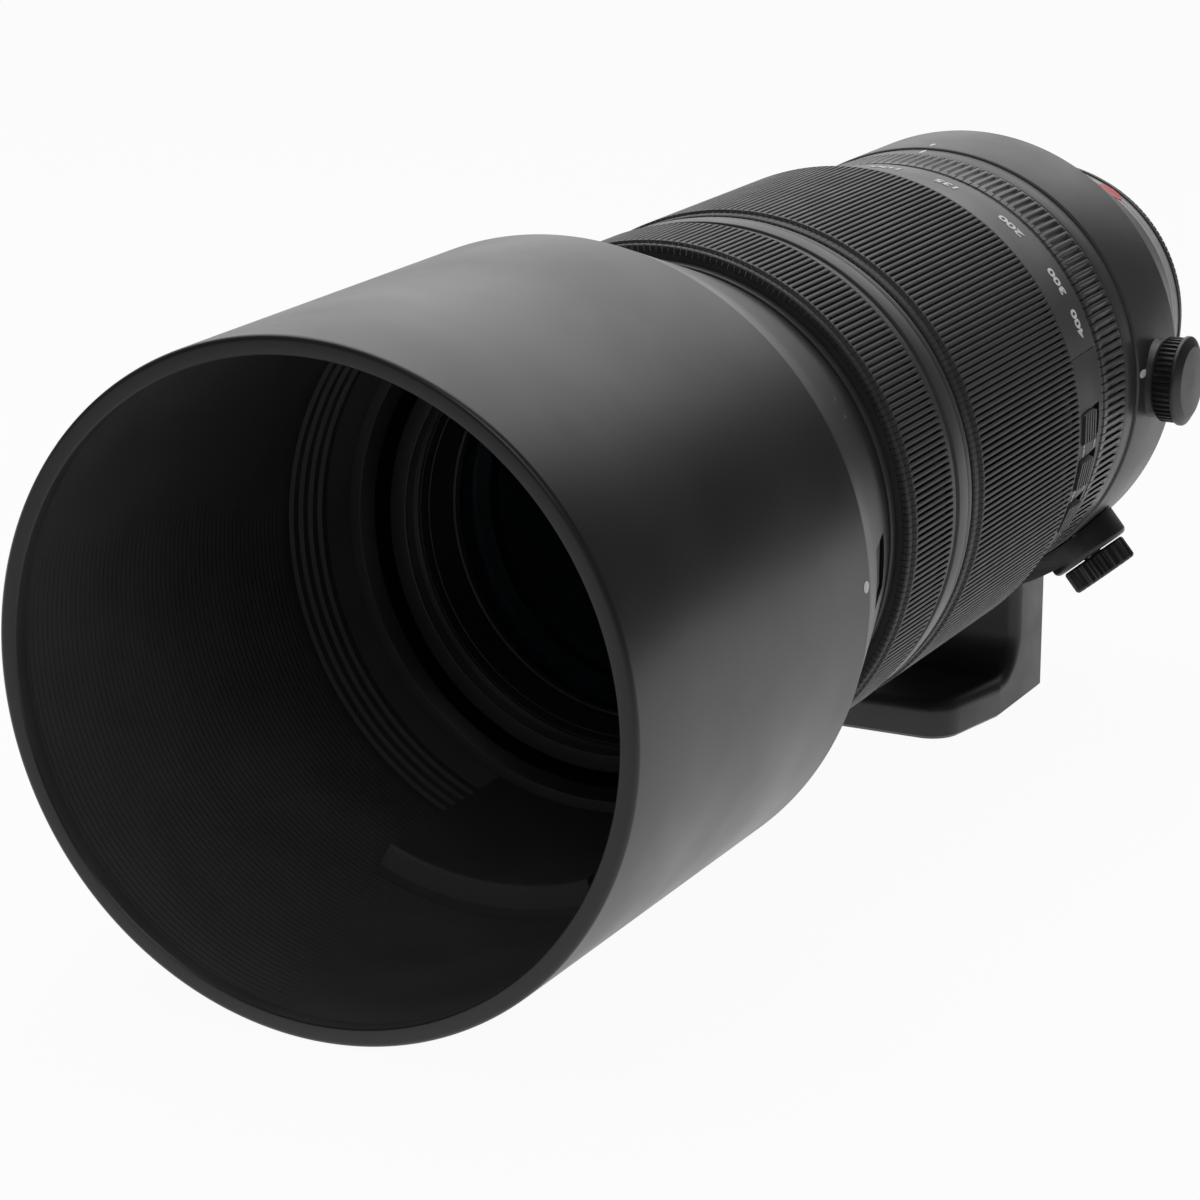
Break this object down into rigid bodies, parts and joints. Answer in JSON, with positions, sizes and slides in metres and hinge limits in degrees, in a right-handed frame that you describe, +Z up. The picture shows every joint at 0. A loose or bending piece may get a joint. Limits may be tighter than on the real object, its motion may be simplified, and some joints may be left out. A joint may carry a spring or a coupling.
{
  "type": "camera zoom lens",
  "caption": "Telephoto zoom lens with a deep round hood, ribbed zoom and focus rings, a turning tripod collar with a detachable foot, and a bayonet mount with its rear cap.",
  "frame": {"origin": "centre of the lens mount's face, on the optical axis", "axes": "-Y along the optical axis towards the front glass, +Z up, the tripod foot along -Z, +X on the side of the switches and the lock knob"},
  "size_m": [0.11, 0.3194, 0.126],
  "materials": {
    "barrel_black": "fine matt black coat",
    "grip_rubber": "matt ribbed rubber",
    "black_plastic": "matt moulded plastic",
    "mount_steel": "turned bright metal",
    "contact_gold": "plated",
    "optical_glass": "coated optical glass",
    "cell_black": "black anodised",
    "board_green": "circuit board"
  },
  "bodies": {
    "barrel": {"main_barrel": "barrel_black", "middle_band": "barrel_black", "number_band": "barrel_black", "switch_panel": "black_plastic", "rear_barrel": "barrel_black", "rear_cover": "barrel_black", "mount_ring": "mount_steel", "mount_screws": "mount_steel", "mount_gasket": "grip_rubber", "contact_block": "black_plastic", "contact_pins": "contact_gold", "rear_baffle": "black_plastic", "circuit_board": "board_green", "inner_tube": "cell_black", "guide_rods": "mount_steel", "motor_magnets": "mount_steel", "rear_lens_cell": "cell_black", "rear_lenses": "optical_glass", "iris_housing": "cell_black", "iris_blades": "black_plastic", "stabiliser_base": "cell_black", "front_seal": "black_plastic"},
    "front_group": {"front_barrel": "barrel_black", "front_lens": "optical_glass", "front_doublet": "optical_glass", "front_lens_cell": "cell_black", "retaining_ring": "cell_black", "cam_rollers": "mount_steel"},
    "zoom_ring": {"zoom_ring": "barrel_black", "zoom_grip": "grip_rubber", "cam_barrel": "barrel_black"},
    "second_group": {"second_group_cell": "cell_black", "second_group_lens": "optical_glass"},
    "focus_group": {"focus_carriage": "cell_black", "focus_lens": "optical_glass"},
    "focus_ring": {"focus_ring": "barrel_black", "focus_grip": "grip_rubber"},
    "aperture_ring": {"aperture_ring": "barrel_black"},
    "yaw_frame": {"yaw_frame": "cell_black"},
    "pitch_frame": {"pitch_frame": "cell_black", "stabiliser_lens": "optical_glass"},
    "collar": {"tripod_collar": "barrel_black"},
    "lock_knob": {"lock_knob": "barrel_black"},
    "lock_stud": {"lock_stud": "mount_steel"},
    "foot": {"tripod_foot": "barrel_black", "thread_insert": "contact_gold"},
    "foot_knob": {"foot_knob": "barrel_black"},
    "foot_stud": {"foot_stud": "mount_steel"},
    "hood": {"hood": "black_plastic", "hood_button_spring": "mount_steel"},
    "hood_button": {"hood_button": "black_plastic"},
    "hood_window": {"hood_window": "black_plastic"},
    "focus_range_switch": {"focus_range_switch": "black_plastic"},
    "stabiliser_switch": {"stabiliser_switch": "black_plastic"},
    "aperture_switch": {"aperture_switch": "black_plastic"},
    "rear_cap": {"rear_cap": "black_plastic"}
  },
  "joints": [
    {"name": "zoom_turn", "type": "hinge", "parent": "barrel", "child": "zoom_ring", "pos_m": [0, -0.13, 0], "axis": [0, 1, 0], "range_deg": [0, 64]},
    {"name": "front_slide", "type": "slide", "parent": "barrel", "child": "front_group", "axis": [0, -1, 0], "range_m": [0, 0.0595]},
    {"name": "second_slide", "type": "slide", "parent": "barrel", "child": "second_group", "axis": [0, -1, 0], "range_m": [0, 0.01999]},
    {"name": "focus_slide", "type": "slide", "parent": "barrel", "child": "focus_group", "axis": [0, -1, 0], "range_m": [0, 0.008]},
    {"name": "focus_turn", "type": "hinge", "parent": "barrel", "child": "focus_ring", "pos_m": [0, -0.177, 0], "axis": [0, 1, 0], "continuous": true},
    {"name": "aperture_turn", "type": "hinge", "parent": "barrel", "child": "aperture_ring", "pos_m": [0, -0.077, 0], "axis": [0, 1, 0], "continuous": true},
    {"name": "yaw_shift", "type": "slide", "parent": "barrel", "child": "yaw_frame", "axis": [1, 0, 0], "range_m": [-0.001, 0.001]},
    {"name": "pitch_shift", "type": "slide", "parent": "yaw_frame", "child": "pitch_frame", "axis": [0, 0, 1], "range_m": [-0.001, 0.001]},
    {"name": "collar_turn", "type": "hinge", "parent": "barrel", "child": "collar", "pos_m": [0, -0.052, 0], "axis": [0, 1, 0], "continuous": true},
    {"name": "lock_turn", "type": "hinge", "parent": "collar", "child": "lock_knob", "pos_m": [0.0462, -0.05205, 0], "axis": [1, 0, 0], "range_deg": [-288, 0]},
    {"name": "lock_stud_slide", "type": "slide", "parent": "collar", "child": "lock_stud", "axis": [1, 0, 0], "range_m": [0, 0.0008]},
    {"name": "foot_slide", "type": "slide", "parent": "collar", "child": "foot", "axis": [0, 1, 0], "range_m": [0, 0.024]},
    {"name": "foot_knob_turn", "type": "hinge", "parent": "foot", "child": "foot_knob", "pos_m": [0.03181, -0.051, -0.03845], "axis": [0.6374, 0, -0.7705], "range_deg": [-540, 0]},
    {"name": "foot_stud_slide", "type": "slide", "parent": "foot", "child": "foot_stud", "axis": [0.6374, 0, -0.7705], "range_m": [0, 0.0015]},
    {"name": "hood_twist", "type": "hinge", "parent": "front_group", "child": "hood", "pos_m": [0, -0.2, 0], "axis": [0, 1, 0], "range_deg": [0, 55]},
    {"name": "hood_button_press", "type": "slide", "parent": "hood", "child": "hood_button", "axis": [-1, 0, 0], "range_m": [0, 0.001], "stiffness_N_per_m": 900},
    {"name": "hood_window_slide", "type": "slide", "parent": "hood", "child": "hood_window", "axis": [0, -1, 0], "range_m": [0, 0.0112]},
    {"name": "focus_range_switch_slide", "type": "slide", "parent": "barrel", "child": "focus_range_switch", "axis": [0, 1, 0], "range_m": [0, 0.0049]},
    {"name": "stabiliser_switch_slide", "type": "slide", "parent": "barrel", "child": "stabiliser_switch", "axis": [0, 1, 0], "range_m": [0, 0.0049]},
    {"name": "aperture_switch_slide", "type": "slide", "parent": "barrel", "child": "aperture_switch", "axis": [0, 1, 0], "range_m": [0, 0.0049]},
    {"name": "rear_cap_twist", "type": "hinge", "parent": "barrel", "child": "rear_cap", "pos_m": [0, 0.005, 0], "axis": [0, 1, 0], "range_deg": [0, 60]}
  ],
  "couplings": [
    {"joint": "front_slide", "follows": "zoom_turn", "m_per_rad": 0.053267},
    {"joint": "second_slide", "follows": "zoom_turn", "m_per_rad": 0.017898},
    {"joint": "lock_turn", "follows": "lock_stud_slide", "rad_per_m": -6283},
    {"joint": "foot_knob_turn", "follows": "foot_stud_slide", "rad_per_m": -6283}
  ]
}
